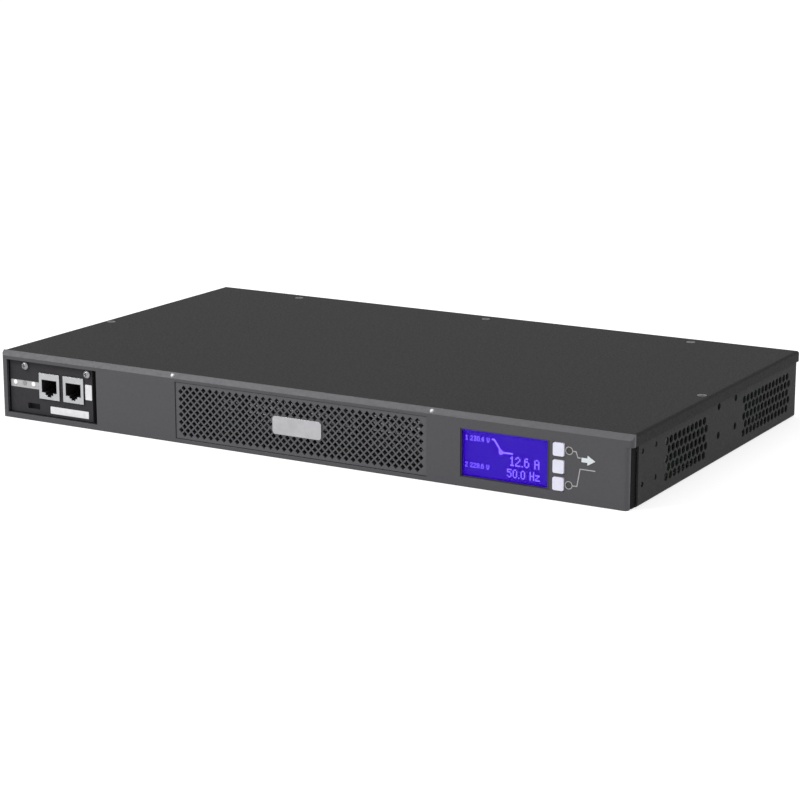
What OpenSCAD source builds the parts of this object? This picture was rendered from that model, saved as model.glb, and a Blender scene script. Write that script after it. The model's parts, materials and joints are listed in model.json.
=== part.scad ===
// Rack static transfer switch, one rack unit high: two mains inlets, two rows of
// outlets, a network card slot and a front panel with a display and three buttons.
// +X right as seen from the front, -Y front, +Z up, origin under the middle of the box.

/* [Overall] */
// Width over the top cover's side flanges
unit_w = 440; // [436:1:450]
// Depth from the button faces to the rear edge of the cover
unit_d = 254; // [250:1:320]
// Height of the closed box
unit_h = 43; // [42:0.25:44.25]

/* [Sheet metal] */
// Thickness of the folded tray
sheet_t = 1.2; // [1:0.1:1.5]
// Thickness of the top cover
cover_t = 1.0; // [0.8:0.1:1.2]
// Outside radius of the folds
fold_r = 1.8; // [1.6:0.1:2.5]
// Play between the cover's flange and the tray's side
cover_play = 0.1; // [0.05:0.05:0.3]
// How far the cover's side flange reaches down
cover_flange = 7; // [5:0.5:8]
// How far the cover's rear lip reaches down
cover_lip = 3.6; // [2.5:0.1:4]
// Depth of the pressed dimples that sink the cover screws
dimple_t = 1.6; // [1.4:0.1:1.8]
// Width of the flanges that carry the cover
flange_w = 12; // [11:0.5:14]
// How far the rear panel is set in from the rear edge
rear_inset = 3; // [2.8:0.1:5]
// Middle of the side cover screws, behind the front edge of the unit
cover_screw_s = 109; // [106:1:112]

/* [Side vents] */
// Width across the flats of a vent hole
vent_hole = 4.6; // [3:0.1:5]
// Distance between neighbouring vent holes
vent_pitch = 6; // [5.6:0.1:7]
// Front end of the front vent, behind the front edge of the unit
vent_a_start = 45; // [42:1:50]
// Length of the front vent
vent_a_len = 65; // [40:1:70]
// Front end of the rear vent, behind the front edge of the unit
vent_b_start = 161; // [158:1:165]
// Length of the rear vent
vent_b_len = 83; // [50:1:84]
// Lowest edge of the vents
vent_z = 3.4; // [3:0.1:6]
// Height of the vents
vent_h = 31; // [20:1:32]

/* [Mounting holes] */
// Clearance radius of the rail holes in each side
rail_hole_r = 2.2; // [2.1:0.1:2.4]
// Middle of the rail holes, behind the front edge of the unit
rail_hole_y = 138; // [134:1:142]
// Distance between the rail holes along the side
rail_span_y = 26; // [20:1:28]
// Distance between the rail holes up the side
rail_span_z = 17.5; // [12:0.5:18]
// Middle of the rail holes, above the bottom
rail_hole_z = 24.6; // [22:0.1:25]
// Radius of the rack-ear holes in each side
ear_hole_r = 1.65; // [1.6:0.05:2.2]
// Middle of the rack-ear holes, behind the front edge of the unit
ear_hole_y = 25; // [22:1:27]
// Distance between the rack-ear holes along the side
ear_span_y = 18; // [12:1:20]
// Distance between the rack-ear holes up the side
ear_span_z = 19; // [12:1:20]
// Width across the flats of a clinch nut
nut_w = 7; // [6:0.5:8]
// Height of a clinch nut
nut_h = 2; // [1.5:0.1:2.4]

/* [Bezel] */
// Depth of the front bezel's rim
bezel_d = 3.6; // [3.4:0.1:5]
// Thickness of the bezel's face
bezel_t = 2; // [1.8:0.1:2.4]
// Thickness of the bezel's rim
bezel_rim = 1.8; // [1.4:0.1:2]
// Chamfer along the top front edge
bezel_chamfer = 3; // [2:0.1:3.2]
// Radius of the upright front corners
bezel_corner = 2.4; // [1.5:0.1:3]
// Shadow joint between the bezel and the tray
shadow_w = 2.2; // [1:0.1:2.4]
// Radius of the bezel's screw bosses
boss_r = 3; // [2.6:0.1:3.2]
// Depth of the finger recess in the bezel's right end
grip_w = 2.8; // [2:0.1:3]
// How far the tray's side walls stand back behind the front panel's face
wall_back = 4; // [3:0.5:5]
// Radius of the head of a bezel pin
pin_head_r = 1.5; // [1.2:0.1:1.7]

/* [Grille] */
// Width of the perforated grille
grille_w = 176; // [140:1:180]
// Height of the perforated grille
grille_h = 35.6; // [30:0.1:35.8]
// Middle of the grille, from the middle of the display window
grille_x = 138.2; // [136:0.1:142]
// Thickness of the grille
grille_t = 2; // [1.6:0.1:2]
// How far the grille lies behind the bezel's face
grille_sink = 0.5; // [0.2:0.1:1]
// Distance between the grille's rows of holes
grille_pitch = 4.8; // [4.4:0.1:6]
// Width of a strand between two diamond holes
strand_w = 0.95; // [0.8:0.05:1.4]
// How far the grille's middle lies below the middle of the unit
grille_drop = 1.2; // [0.8:0.1:1.4]
// Width of the plain rim round the grille's holes
grille_rim = 1.2; // [1:0.1:2]
// Play round the grille in its opening
grille_play = 0.25; // [0.15:0.05:0.4]
// Width of the blank badge
badge_w = 34; // [20:1:44]
// Height of the blank badge
badge_h = 11; // [8:0.5:14]
// Thickness of the blank badge
badge_t = 0.9; // [0.6:0.1:1]

/* [Display and buttons] */
// Width of the display window
window_w = 56.6; // [50:0.1:57]
// Height of the display window
window_h = 28.4; // [24:0.1:29]
// Middle of the display window, from the unit's right side
window_s = 78.8; // [78:0.1:80]
// Middle of the display window and the button column, above the bottom
window_z = 19.9; // [19.8:0.1:20.5]
// Overlap of the window lens behind the bezel
lens_lap = 0.7; // [0.5:0.1:0.8]
// Thickness of the window lens
lens_t = 1.4; // [1.2:0.1:1.6]
// Width of a button
button_w = 6.8; // [6:0.1:7]
// Height of a button
button_h = 7.6; // [7:0.1:7.8]
// Distance between neighbouring buttons
button_pitch = 9.9; // [9.8:0.1:10.2]
// Middle of the button column, from the unit's right side
button_s = 45; // [44.8:0.1:45.4]
// Play round a button in the bezel
button_play = 0.3; // [0.25:0.05:0.4]
// How far the buttons stand proud of the bezel
button_proud = 0.6; // [0.4:0.1:1]
// How far a button can be pressed
button_travel = 0.5; // [0.3:0.1:0.6]
// Radius of the two status lights
light_r = 1.5; // [1.2:0.1:1.6]
// Middle of the status lights, from the unit's right side
light_s = 38.6; // [38:0.1:39]
// Left end of the arrow light, from the unit's right side
arrow_s = 31; // [30:0.1:33]
// Length of the arrow light
arrow_w = 8.6; // [6:0.1:10]
// Height of the arrow light
arrow_h = 6; // [4:0.1:8]
// Middle of the arrow light, above the bottom
arrow_z = 25.6; // [22:0.1:30]

/* [Network card] */
// Width of the card slot in the bezel
slot_w = 70.7; // [70:0.1:71.4]
// Height of the card slot in the bezel
slot_h = 34.4; // [33:0.1:34.8]
// Left end of the card slot, from the unit's left side
slot_s = 4.4; // [3.8:0.1:5]
// Bottom of the card slot, above the bottom
slot_z = 3.4; // [3:0.1:4]
// Width of the card's faceplate
card_w = 65.4; // [65:0.1:67]
// Thickness of the card's faceplate
card_t = 3.4; // [2.6:0.1:3.6]
// Length of the card's circuit board
card_len = 104; // [80:1:110]
// Width of the card's circuit board
card_board_w = 60; // [54:1:60]
// Width of a network jack
jack_w = 16; // [15:0.1:16.4]
// Height of a network jack
jack_h = 16.6; // [15:0.1:17]
// Length of a network jack
jack_len = 21; // [18:0.5:25]
// Distance between the two network jacks
jack_pitch = 19; // [17:0.1:19.4]
// Width of the service recess in the card's faceplate
port_w = 9.6; // [8:0.1:11]
// Height of the service recess
port_h = 3.8; // [3:0.1:3.9]
// Wall of the sheet-metal card cage
cage_t = 1; // [0.8:0.1:1.2]

/* [Rear sockets] */
// Height of every socket's flange
flange_h = 30; // [28:0.5:30]
// Thickness of every socket's flange
flange_t = 2.2; // [1.8:0.1:2.4]
// Width of an inlet's flange
inlet_w = 56; // [54:0.5:57]
// Distance between an inlet's screws
inlet_span = 46; // [44:0.5:46]
// Width of an inlet's body
inlet_body_w = 34; // [33:0.5:36]
// Depth of an inlet's recess
inlet_deep = 18; // [15:0.5:20]
// Distance between outlets in a row
outlet_pitch = 28.2; // [27.6:0.1:28.4]
// Number of outlets in a row, where the width has room for them
outlet_count = 4; // [2:1:4]
// Width of the large outlet's flange
wide_w = 37; // [36:0.5:38]
// Depth of every socket's body behind the rear panel
socket_deep = 29; // [26:0.5:30]
// Height of every socket's body
socket_h = 24.6; // [23.5:0.1:26]
// Room between neighbouring flanges
socket_space = 6; // [3:0.5:7]
// Play of a socket's body in the rear panel
socket_play = 0.2; // [0.1:0.05:0.4]

/* [Boards] */
// Thickness of every circuit board
pcb_t = 1.6; // [1.4:0.1:2]
// Height of the main board above the floor sheet
standoff_h = 5; // [4:0.5:7]
// Thickness of the insulating sheet
liner_t = 0.4; // [0.3:0.1:0.6]
// Radius of the board screws
screw_r = 1.5; // [1.3:0.1:1.6]

/* [Power parts] */
// Length of the heat sink
sink_len = 210; // [150:5:214]
// Height of the heat sink
sink_h = 27; // [22:1:29]
// Number of fins on the heat sink
fin_count = 7; // [4:1:8]
// Length of a fin
fin_len = 26; // [16:1:30]
// Number of thyristors on the heat sink
thyristor_count = 4; // [2:1:6]
// Number of relays in the row
relay_count = 6; // [3:1:6]
// Number of smoothing capacitors
capacitor_count = 4; // [2:1:4]
// Radius of a smoothing capacitor
capacitor_r = 9; // [6:0.5:10]
// Height of a smoothing capacitor
capacitor_h = 27; // [18:1:28]

/* [Hidden] */

$fn = 40;
cut = 1;                 // extra length of every cutting tool
touch_lap = 0.01;        // overlap that joins two shapes of one piece

// Planes of the box, front to rear
face_y = -unit_d / 2 + button_proud;
rear_y = unit_d / 2;
plate_back_y = face_y + bezel_t;
tray_front_y = face_y + bezel_d + shadow_w;
tray_inner_front_y = tray_front_y + sheet_t;
panel_y = rear_y - rear_inset;
panel_inner_y = panel_y - sheet_t;

// Planes of the box, side and top
side_x = unit_w / 2;
tray_x = side_x - cover_t - cover_play;
tray_inner_x = tray_x - sheet_t;
cover_z = unit_h - cover_t;
ledge_z = cover_z - dimple_t;
wall_top_z = cover_z - (fold_r - cover_t);
wall_end_y = rear_y - cover_t - cover_play;
fold_room = fold_r - sheet_t + 0.1;
panel_x = tray_inner_x - fold_room;
panel_play = 0.3;
panel_h = ledge_z - sheet_t;

// Cover screws
head_r = 3.0;
screw_play = 0.2;
tap_play = 0.02;
cover_screw_y = -unit_d / 2 + cover_screw_s;
cover_screw_x = tray_inner_x - 3.4;
lug_l = 14;
lug_play = 0.6;
rear_screw_x = [-150, 0, 150];
rear_screw_y = panel_inner_y - flange_w / 2;
cover_screw_len = cover_t + dimple_t + sheet_t + 1;

// Right-hand end of the panel: display, buttons and lights
window_x = side_x - window_s;
grille_mid = window_x - grille_x;
button_x = side_x - button_s;
light_x = side_x - light_s;
arrow_x = side_x - arrow_s;
button_flange = 0.8;
button_flange_t = 1;
button_flange_y = plate_back_y + 0.3;
stem_r = 1.5;
switch_w = 6;
switch_t = 3.4;
plunger_r = 1.7;
plunger_t = 0.5;
switch_gap = 0.3;
display_y = plate_back_y + 1.2;
display_t = 4.4;
display_margin = 2.2;
display_rim = 1.6;
display_side = 0.9;
display_wall = 1;
display_side_wall = 0.4;
display_front_t = 0.6;
display_front_y = display_y + display_front_t;
// The display's frame is narrower on the side next to the buttons
display_x = window_x - (display_margin - display_side) / 2;
display_w = window_w + display_margin + display_side;
display_h = window_h + 2 * display_rim;
control_y = display_y + display_t + 3.4;
control_w = 103;
control_h = 32;
control_x = side_x - 66.5;
control_z = window_z + 0.6;
stem_end_y = control_y - switch_t - plunger_t - switch_gap - button_travel;
led_h = 1.4;
led_w = 3;
led_t = 2;
control_hole_dx = control_w / 2 - 3.5;
spacer_r = 2.6;
panel_open_play = 0.4;
panel_open_x0 = window_x - window_w / 2 - display_margin - panel_open_play;
panel_open_x1 = arrow_x + arrow_w + 1;

grille_z = unit_h / 2 - grille_drop;

// Bezel bosses: two each side of the grille and one pair at the right end
boss_x = [grille_mid - grille_w / 2 - 8, grille_mid + grille_w / 2 + 5.4, side_x - grip_w - 4.7];
boss_z = [8, unit_h - 9];
control_hole_dz = (boss_z[1] - boss_z[0]) / 2 - boss_r - spacer_r - 0.4;

// Pins in the bezel's chamfer
pin_r = 0.8;
pin_len = 1.8;

// Card slot and card
slot_x = -side_x + slot_s;
card_x = slot_x + 0.6;
card_gap_z = 0.4;
card_y = tray_front_y - card_t;
card_front_play = 0.4;
card_start_y = tray_front_y + card_front_play;
card_end_y = card_start_y + card_len;
edge_inset = 12;
edge_l = 7;
edge_play = 0.2;
connector_wall = 3;
connector_d = 6;
cage_w = card_board_w + 6.4;
cage_side_room = 0.3;
card_mid_x = -tray_inner_x + nut_h + cage_side_room + cage_w / 2;
card_bay_w = card_board_w + 3;
card_bay_z = [11, 32.8];
card_board_z = 13;
jack_z = card_board_z + pcb_t;
jack_shift = 8.4;
jack_x = [for (side = [-0.5, 0.5]) card_mid_x + jack_shift + side * jack_pitch];
jack_proud = 0.8;
cavity_w = 11.9;
cavity_h = 8.4;
cavity_deep = 14;
cavity_z = jack_z + 4.2;
card_head_r = 2.5;
card_screw_x = [card_x + 12.8, card_x + card_w - card_head_r - 1.2];
card_screw_z = slot_z + slot_h - card_gap_z - card_head_r - 0.4;
port_x = card_x + 18.5;
port_z = 8.7;
card_light_r = 1.5;
card_light_x = [for (i = [0:2]) card_x + 4.4 + 7.2 * i];
card_light_z = 23.2;
cage_z = cover_z - 5;
cage_end_y = tray_inner_front_y + card_len + 3;
guide_w = 5.5;
guide_h = 7;
guide_play = 0.2;
guide_x = cage_w / 2 - cage_t - guide_w;
guide_start_y = tray_inner_front_y + 8;

// Rear sockets, laid out from the right-hand side as seen from the front
socket_z = 5 + 15.4;
row_start = tray_inner_x - 8.4;
earth_x = 13.4 - tray_inner_x;
earth_room = 8.5;
row_end_w = 3;
outlet_room = row_start - earth_x - earth_room - 2 * inlet_w - wide_w - 4 * socket_space - 2 * row_end_w;
row_count = min(outlet_count, floor(outlet_room / (2 * outlet_pitch)));
outlet_row_w = row_count * outlet_pitch + row_end_w;
inlet_a_x = row_start - inlet_w / 2;
inlet_b_x = inlet_a_x - inlet_w - socket_space;
outlet_a_x = inlet_b_x - inlet_w / 2 - socket_space - outlet_row_w / 2;
outlet_b_x = outlet_a_x - outlet_row_w - socket_space;
wide_x = outlet_b_x - outlet_row_w / 2 - socket_space - wide_w / 2;
earth_z = socket_z;
body_lip = 1.5;
flange_y = panel_y + flange_t;
recess_w = 28.6;
recess_h = 19.4;
recess_cut = 3;
blade_sink = 3;
small_hood = [24.4, 17];
small_core = [20, 12.6];
small_cut = [4, 3.2];
small_deep = 14;
small_slot = [2.2, 4.6];
small_slot_deep = 17;
small_dx = 7;
small_low = -1.4;
small_high = 2.6;
wide_hood = [30.4, 21];
wide_core = [25.8, 16.6];
wide_deep = 16;
wide_slot = [8.6, 2.4];
wide_slot_deep = 19;
blade_w = 8;
blade_t = 2;
blade_dx = 6.5;
blade_dz = 4;
tab_len = 4;
tab_w = 4.8;
tab_t = 0.8;
washer_r = 4.6;
washer_t = 0.8;
earth_r = 2;
socket_end_y = panel_y - socket_deep;
outlet_board_y = socket_end_y - tab_len;
outlet_board_h = 33;

// Main board
liner_z = sheet_t;
board_z = sheet_t + standoff_h;
board_top = board_z + pcb_t;
board_left = -tray_inner_x + 4;
board_right = tray_inner_x - 4;
board_front = face_y + 26;
board_rear = outlet_board_y - pcb_t - 3;
board_notch_x = card_mid_x + cage_w / 2 + 5;
board_notch_y = cage_end_y + 2;
standoff_r = 3;
board_margin = 6;
standoff_spots = [
    [board_notch_x + board_margin, board_front + board_margin],
    [board_right - board_margin, board_front + board_margin],
    [board_notch_x + board_margin, board_notch_y + board_margin],
    [board_right - board_margin, board_notch_y + board_margin],
    [board_left + board_margin, board_notch_y + board_margin],
    [board_left + board_margin, board_rear - board_margin],
    [0, board_rear - board_margin],
    [board_right - board_margin, board_rear - board_margin]];

// Power parts
sink_x = board_notch_x + 16;
sink_base = 5;
sink_y = board_front + 4 + fin_len;
fin_t = 1.6;
sink_z = board_top;
package_w = 15.9;
package_h = 20.8;
package_t = 5;
package_z = board_top + 5;
leg_w = 1.2;
leg_t = 0.6;
leg_pitch = 5.45;
thyristor_step = sink_len / thyristor_count;
part_row_y = sink_y + sink_base + package_t + 18;
relay_w = 29;
relay_d = 12.8;
relay_h = 20.5;
relay_y = board_rear - 28;
relay_step = 44;
transformer_w = 38;
transformer_d = 32;
transformer_h = 28;
transformer_y = board_front + 34;
transformer_x = [board_right - 64, board_right - 22];
can_y = part_row_y + 8;
film = [26, 10, 19];
film_count = 4;
ring_hole = 6;
ring_w = 7;
ring_h = 11;
ring_count = 2;
ring_y = part_row_y + 4;
// Film capacitors, ring cores and cans stand in one row with even room between them
row_x = sink_x + 5;
ring_d = 2 * (ring_hole + ring_w);
row_parts_w = film_count * film[0] + ring_count * ring_d + capacitor_count * 2 * capacitor_r;
row_room = (board_right - 16 - row_x - row_parts_w) / (film_count + ring_count + capacitor_count - 1);
film_x = [for (i = [0:film_count - 1]) row_x + (i + 0.5) * film[0] + i * row_room];
ring_start = row_x + film_count * (film[0] + row_room);
ring_x = [for (i = [0:ring_count - 1]) ring_start + (i + 0.5) * ring_d + i * row_room];
can_start = ring_start + ring_count * (ring_d + row_room);
can_x = [for (i = [0:capacitor_count - 1]) can_start + (2 * i + 1) * capacitor_r + i * row_room];
fuse_x = [board_right - 104, board_right - 62];
fuse_y = part_row_y + 34;
fuse_l = 20;
fuse_r = 2.6;
clip = [6, 8, 6];
chip_y = part_row_y + 30;
chip_t = 1.6;
bar_w = 9;
bar_t = 1.2;
bar_reach = 9;
bar_h = 11;
bar_x = [for (i = [0:5]) board_left + 51.7 + i * (board_right - board_left - 127.4) / 5];
header_w = 24;
header_d = 9;
header_h = 9;
ribbon_t = 0.9;
ribbon_w = 20;
ribbon_bend = 10;
ribbon_x = control_x + control_w / 2 - header_w / 2 - 9;
control_header_y = control_y + pcb_t;
control_header_z = board_top + header_h + ribbon_bend + 2;
board_header_y = control_header_y + header_h + ribbon_bend;

// ---------- helpers ----------

// A block from its lowest corner to its highest corner
module block(lo, hi) translate(lo) cube([hi[0] - lo[0], hi[1] - lo[1], hi[2] - lo[2]]);

// Extrudes a shape drawn in X and Z from one depth to another
module along_y(y0, y1) translate([0, y1, 0]) rotate([90, 0, 0]) linear_extrude(y1 - y0) children();

// Extrudes a shape drawn in Y and Z from one side to another
module along_x(x0, x1) translate([x0, 0, 0]) rotate([90, 0, 90]) linear_extrude(x1 - x0) children();

// A round bar along Y
module rod_y(r, y0, y1) translate([0, y0, 0]) rotate([-90, 0, 0]) cylinder(r = r, h = y1 - y0);

// A rectangle about its middle with round corners
module round_rect(w, h, r) {
    square([w - 2 * r, h], center = true);
    square([w, h - 2 * r], center = true);
    for (x = [-1, 1], y = [-1, 1])
        translate([x * (w / 2 - r), y * (h / 2 - r)]) circle(r);
}

// A rectangle from its lower left corner with its two lower corners round
module round_foot(w, h, r) {
    translate([0, r]) square([w, h - r]);
    translate([r, 0]) square([w - 2 * r, r + touch_lap]);
    for (x = [r, w - r]) translate([x, r]) circle(r);
}

// A pan-head screw that points down from z = 0
module pan_screw(r, len, head = head_r, high = 1.8) {
    translate([0, 0, -len]) cylinder(r = r, h = len + touch_lap);
    difference() {
        union() {
            cylinder(r = head, h = high * 0.55);
            translate([0, 0, high * 0.55]) cylinder(r1 = head, r2 = head * 0.62, h = high * 0.45);
        }
        cross_slot(head, high);
    }
}

// A countersunk screw whose flat head lies at z = 0 and points down
module flat_screw(r, len, head = head_r) {
    translate([0, 0, -len]) cylinder(r = r, h = len - (head - r) + touch_lap);
    difference() {
        translate([0, 0, r - head]) cylinder(r1 = r, r2 = head, h = head - r);
        cross_slot(head, 0);
    }
}

// The cross recess in a screw head that ends at height top
module cross_slot(head, top) {
    for (a = [0, 90]) rotate([0, 0, a])
        translate([-head * 0.55, -0.3, top - 0.9]) cube([head * 1.1, 0.6, 0.9 + cut]);
}

// Places its children at each cover screw, on the outer face of the cover
module at_cover_screws() {
    for (x = [-1, 1]) translate([x * cover_screw_x, cover_screw_y, unit_h]) children();
    for (x = rear_screw_x) translate([x, rear_screw_y, unit_h]) children();
}

// Places its children at the rail holes and ear holes, on the tray's inner side faces
module at_side_holes(y_mid, span_y, z_mid, span_z) {
    for (side = [-1, 1], y = [-0.5, 0.5], z = [-0.5, 0.5])
        translate([side * tray_inner_x, -unit_d / 2 + y_mid + y * span_y, z_mid + z * span_z])
            rotate([0, side * 90, 0]) children();
}

// ---------- housing ----------

// One field of staggered hexagonal vent holes, drawn in Y and Z
module vent_field(start, len) {
    row = vent_pitch * sqrt(3) / 2;
    hex_r = vent_hole / sqrt(3);
    cols = floor((len - vent_hole - vent_pitch / 2) / vent_pitch);
    rows = floor((vent_h - 2 * hex_r) / row);
    y0 = -unit_d / 2 + start + (len - (cols + 0.5) * vent_pitch) / 2;
    z0 = vent_z + (vent_h - rows * row) / 2;
    for (i = [0:cols], j = [0:rows])
        translate([y0 + i * vent_pitch + (j % 2) * vent_pitch / 2, z0 + j * row])
            rotate(30) circle(r = hex_r, $fn = 6);
}

// A channel of folded sheet, with its web on the left and its flanges to the right
module channel(depth, height) {
    difference() {
        translate([0, height]) rotate(-90) round_foot(height, depth, fold_r);
        translate([sheet_t, height - sheet_t]) rotate(-90)
            round_foot(height - 2 * sheet_t, depth, fold_r - sheet_t);
    }
}

// Windows in the front panel behind the grille
module front_windows() {
    count = 4;
    rib = 6;
    w = (grille_w - 10 - (count - 1) * rib) / count;
    for (i = [0:count - 1])
        translate([grille_mid + (i - (count - 1) / 2) * (w + rib), grille_z])
            round_rect(w, grille_h - 8, 1.5);
}

// The rear panel's cut-outs, drawn in X and Z
module panel_cutouts() {
    h = socket_h + 2 * socket_play;
    for (x = [inlet_a_x, inlet_b_x]) translate([x, socket_z]) {
        square([inlet_body_w + 2 * socket_play, h], center = true);
        for (s = [-0.5, 0.5]) translate([s * inlet_span, 0]) circle(screw_r + tap_play);
    }
    for (x = [outlet_a_x, outlet_b_x]) translate([x, socket_z])
        square([outlet_row_w - 2 * body_lip + 2 * socket_play, h], center = true);
    translate([wide_x, socket_z]) square([wide_w - 2 * body_lip + 2 * socket_play, h], center = true);
    translate([earth_x, earth_z]) circle(earth_r + tap_play);
}

// Floor and side walls as one folded sheet
module chassis_tray() color([0.13, 0.13, 0.14]) {
    difference() {
        union() {
            along_y(tray_front_y, wall_end_y) difference() {
                translate([-tray_x, 0]) round_foot(2 * tray_x, wall_top_z, fold_r);
                translate([-tray_inner_x, sheet_t])
                    round_foot(2 * tray_inner_x, unit_h, fold_r - sheet_t);
            }
            // One lug on each side wall for the middle cover screws
            for (x = [-1, 1]) translate([x * (tray_x - flange_w / 2), cover_screw_y, ledge_z - sheet_t / 2])
                cube([flange_w, lug_l, sheet_t], center = true);
        }
        along_x(-side_x, side_x) {
            vent_field(vent_a_start, vent_a_len);
            vent_field(vent_b_start, vent_b_len);
            translate([cover_screw_y - lug_l / 2 - lug_play, ledge_z])
                square([lug_l + 2 * lug_play, dimple_t + cut]);
        }
        // The walls stand back at the front, so the joint behind the bezel stays dark
        for (side = [0, 1]) mirror([side, 0, 0])
            block([panel_x + panel_play, tray_front_y - cut, -cut],
                [side_x, tray_front_y + wall_back, unit_h]);
        at_cover_screws() cover_thread();
        at_side_holes(rail_hole_y, rail_span_y, rail_hole_z, rail_span_z)
            translate([0, 0, -cut]) cylinder(r = rail_hole_r, h = sheet_t + 2 * cut);
        at_side_holes(ear_hole_y, ear_span_y, unit_h / 2, ear_span_z)
            translate([0, 0, -cut]) cylinder(r = ear_hole_r, h = sheet_t + 2 * cut);
    }
}

// The hole that a cover screw is screwed into
module cover_thread() translate([0, 0, -unit_h / 2]) cylinder(r = screw_r + tap_play, h = unit_h);

module front_panel() color([0.13, 0.13, 0.14]) {
    difference() {
        along_x(-panel_x, panel_x) translate([tray_front_y, sheet_t])
            channel(sheet_t + flange_w, panel_h);
        along_y(tray_front_y - cut, tray_inner_front_y + cut) {
            front_windows();
            translate([panel_open_x0, window_z - display_h / 2 - panel_open_play])
                square([panel_open_x1 - panel_open_x0, display_h + 2 * panel_open_play]);
            translate([card_mid_x - card_bay_w / 2, card_bay_z[0]])
                square([card_bay_w, card_bay_z[1] - card_bay_z[0]]);
            for (x = boss_x, z = boss_z) translate([x, z]) circle(screw_r + screw_play);
            for (x = card_screw_x) translate([x, card_screw_z]) circle(screw_r + tap_play);
        }
        // The lower flange stops short of the card cage
        block([-side_x, tray_inner_front_y, 0],
            [board_notch_x, tray_inner_front_y + flange_w + cut, 2 * sheet_t + fold_r]);
    }
}

module rear_panel() color([0.13, 0.13, 0.14]) {
    difference() {
        along_x(-panel_x, panel_x) translate([panel_y, sheet_t]) mirror([1, 0])
            channel(sheet_t + flange_w, panel_h);
        along_y(panel_inner_y - cut, panel_y + cut) panel_cutouts();
        at_cover_screws() cover_thread();
    }
}

module side_nuts() color([0.7, 0.7, 0.72]) {
    at_side_holes(ear_hole_y, ear_span_y, unit_h / 2, ear_span_z) translate([0, 0, -nut_h]) difference() {
        cylinder(d = nut_w / cos(30), h = nut_h, $fn = 6);
        translate([0, 0, -cut]) cylinder(r = ear_hole_r, h = nut_h + 2 * cut);
    }
}

// One face of the cover's sheet, folded down along both sides and the rear
module cover_sheet(x, y0, y1, top, r) {
    intersection() {
        along_y(y0, y1) translate([x, top]) rotate(180) round_foot(2 * x, cover_flange + cut, r);
        along_x(-x, x) translate([y1, top]) rotate(180) round_foot(y1 - y0 + 2 * r, cover_flange + cut, r);
    }
}

module top_cover() color([0.16, 0.16, 0.17]) {
    front = face_y + bezel_d + 0.3;
    difference() {
        union() {
            difference() {
                cover_sheet(side_x, front, rear_y, unit_h, fold_r);
                cover_sheet(side_x - cover_t, front - cut, rear_y - cover_t, cover_z, fold_r - cover_t);
                // The rear lip is shorter than the side flanges
                block([-side_x + cover_t, rear_y - cover_t - cut, 0],
                    [side_x - cover_t, rear_y + cut, unit_h - cover_lip]);
                block([-side_x - cut, front - cut, 0], [side_x + cut, rear_y + cut, unit_h - cover_flange]);
            }
            at_cover_screws() translate([0, 0, -cover_t - dimple_t])
                cylinder(r1 = head_r - 0.4, r2 = head_r + dimple_t - 0.4, h = dimple_t + touch_lap);
        }
        at_cover_screws() {
            translate([0, 0, screw_r - head_r - screw_play])
                cylinder(r1 = screw_r + screw_play, r2 = head_r + 2 * screw_play,
                    h = head_r - screw_r + screw_play);
            translate([0, 0, -unit_h / 2]) cylinder(r = screw_r + screw_play, h = unit_h);
            translate([0, 0, -touch_lap]) cylinder(r = head_r + 2 * screw_play, h = cut);
        }
    }
}

module cover_screws() color([0.55, 0.55, 0.57]) {
    at_cover_screws() translate([0, 0, -0.05]) flat_screw(screw_r, cover_screw_len);
}

// ---------- front bezel ----------

// Outline of the bezel from the side, with the chamfer along its top
module bezel_profile(inset) {
    c = bezel_chamfer;
    polygon([
        [face_y + inset, inset], [face_y + bezel_d, inset],
        [face_y + bezel_d, unit_h - inset], [face_y + c + inset / 3, unit_h - inset],
        [face_y + inset, unit_h - c - inset / 3]]);
}

// Outline of the bezel from above, with its two front corners round
module bezel_plan(w) {
    translate([-side_x, face_y]) round_foot(w, bezel_d, bezel_corner);
}

// Places its children at each bezel pin, on the slope of the chamfer
module at_bezel_pins() {
    for (side = [-1, 1])
        translate([grille_mid + side * (grille_w / 2 + pin_head_r + 1),
            face_y + bezel_chamfer / 2, unit_h - bezel_chamfer / 2])
            rotate([45, 0, 0]) children();
}

module front_bezel() color([0.27, 0.26, 0.29]) {
    difference() {
        intersection() {
            along_x(-side_x, side_x) bezel_profile(0);
            // Under the cover's flange the right end stands back as a finger recess
            union() {
                linear_extrude(unit_h) bezel_plan(unit_w - grip_w);
                translate([0, 0, unit_h - cover_flange]) linear_extrude(cover_flange) bezel_plan(unit_w);
            }
        }
        // Hollow back inside the rim, cut along the slope of the chamfer
        along_x(-side_x + bezel_rim, side_x - grip_w - bezel_rim) polygon([
            [plate_back_y, bezel_rim], [face_y + bezel_d + cut, bezel_rim],
            [face_y + bezel_d + cut, unit_h - bezel_rim],
            [face_y + bezel_chamfer + bezel_rim, unit_h - bezel_rim],
            [plate_back_y, unit_h - bezel_chamfer - bezel_rim]]);
        along_y(face_y - cut, face_y + bezel_d + cut) {
            translate([slot_x, slot_z]) square([slot_w, slot_h]);
            translate([grille_mid, grille_z]) square([grille_w, grille_h], center = true);
            translate([window_x, window_z]) square([window_w, window_h], center = true);
            for (i = [-1:1]) translate([button_x, window_z + i * button_pitch])
                square([button_w + 2 * button_play, button_h + 2 * button_play], center = true);
            for (i = [-1, 1]) translate([light_x, window_z + i * button_pitch])
                circle(light_r + tap_play);
            arrow_shape(0);
        }
        at_bezel_pins() translate([0, 0, -pin_len - 0.1]) cylinder(r = pin_r + tap_play, h = pin_len + 1);
    }
    // Screw bosses reach back to the front wall of the tray
    for (x = boss_x, z = boss_z) translate([x, 0, z]) difference() {
        rod_y(boss_r, plate_back_y - touch_lap, tray_front_y);
        rod_y(screw_r + tap_play, plate_back_y, tray_front_y + cut);
    }
}

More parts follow.
